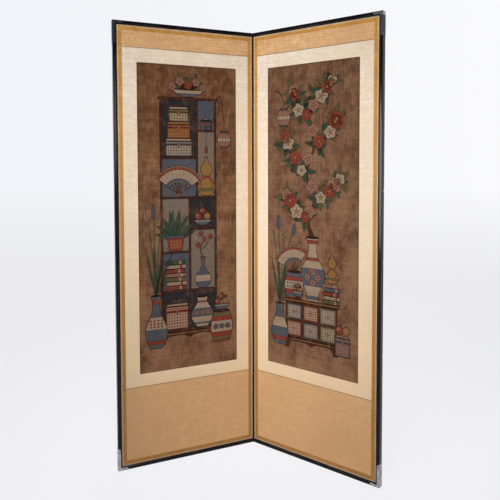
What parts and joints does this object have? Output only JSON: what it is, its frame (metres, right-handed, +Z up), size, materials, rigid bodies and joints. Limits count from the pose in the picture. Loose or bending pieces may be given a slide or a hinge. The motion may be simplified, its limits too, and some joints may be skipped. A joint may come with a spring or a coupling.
{
  "type": "folding screen",
  "caption": "Free-standing folding screen: hinged lacquered panels with lattice cores, silk mounts, a picture on each front and metal corner brackets.",
  "frame": {"origin": "centre of the open screen's footprint, on the floor", "axes": "+Z up; the fronts face -Y, the panels meet at the fold behind the origin, X spans both panels"},
  "size_m": [1.024, 0.3032, 1.75],
  "materials": {
    "black_lacquer": "worn black lacquer",
    "core_wood": "raw softwood",
    "bamboo": "split bamboo",
    "lining_paper": "layered fibre paper",
    "cover_paper": "plain dyed paper",
    "edging_silk": "pale silk",
    "gold_silk": "gold silk",
    "tan_silk": "tan silk",
    "mat_silk": "cream silk",
    "picture_paper": "aged painted paper",
    "hinge_cloth": "black cotton",
    "bracket_metal": "satin, worn"
  },
  "bodies": {
    "left_panel": {"left_bottom_bracket": "bracket_metal", "left_top_bracket": "bracket_metal", "left_bracket_tacks": "bracket_metal", "left_outer_stile": "black_lacquer", "left_bottom_rail": "black_lacquer", "left_top_rail": "black_lacquer", "left_hinge_lath": "black_lacquer", "left_frame_pegs": "bamboo", "left_lattice_uprights": "core_wood", "left_lattice_crossbars": "core_wood", "left_core_hinge_stile": "core_wood", "left_core_outer_stile": "core_wood", "left_core_bottom_rail": "core_wood", "left_core_top_rail": "core_wood", "left_front_lining": "lining_paper", "left_back_lining": "lining_paper", "left_back_cover": "cover_paper", "left_edging": "edging_silk", "left_gold_border": "gold_silk", "left_lower_silk": "tan_silk", "left_upper_silk": "tan_silk", "left_mat": "mat_silk", "left_picture": "picture_paper", "left_hinge_front_leaves": "hinge_cloth", "left_hinge_edge_leaves": "hinge_cloth"},
    "right_panel": {"right_bottom_bracket": "bracket_metal", "right_top_bracket": "bracket_metal", "right_bracket_tacks": "bracket_metal", "right_outer_stile": "black_lacquer", "right_bottom_rail": "black_lacquer", "right_top_rail": "black_lacquer", "right_hinge_lath": "black_lacquer", "right_frame_pegs": "bamboo", "right_lattice_uprights": "core_wood", "right_lattice_crossbars": "core_wood", "right_core_hinge_stile": "core_wood", "right_core_outer_stile": "core_wood", "right_core_bottom_rail": "core_wood", "right_core_top_rail": "core_wood", "right_front_lining": "lining_paper", "right_back_lining": "lining_paper", "right_back_cover": "cover_paper", "right_edging": "edging_silk", "right_gold_border": "gold_silk", "right_lower_silk": "tan_silk", "right_upper_silk": "tan_silk", "right_mat": "mat_silk", "right_picture": "picture_paper", "right_hinge_front_leaves": "hinge_cloth", "right_hinge_edge_leaves": "hinge_cloth"}
  },
  "joints": [
    {"name": "fold", "type": "hinge", "parent": "left_panel", "child": "right_panel", "pos_m": [0, 0.13136, 0], "axis": [0, 0, 1], "range_deg": [-121, 59]}
  ]
}
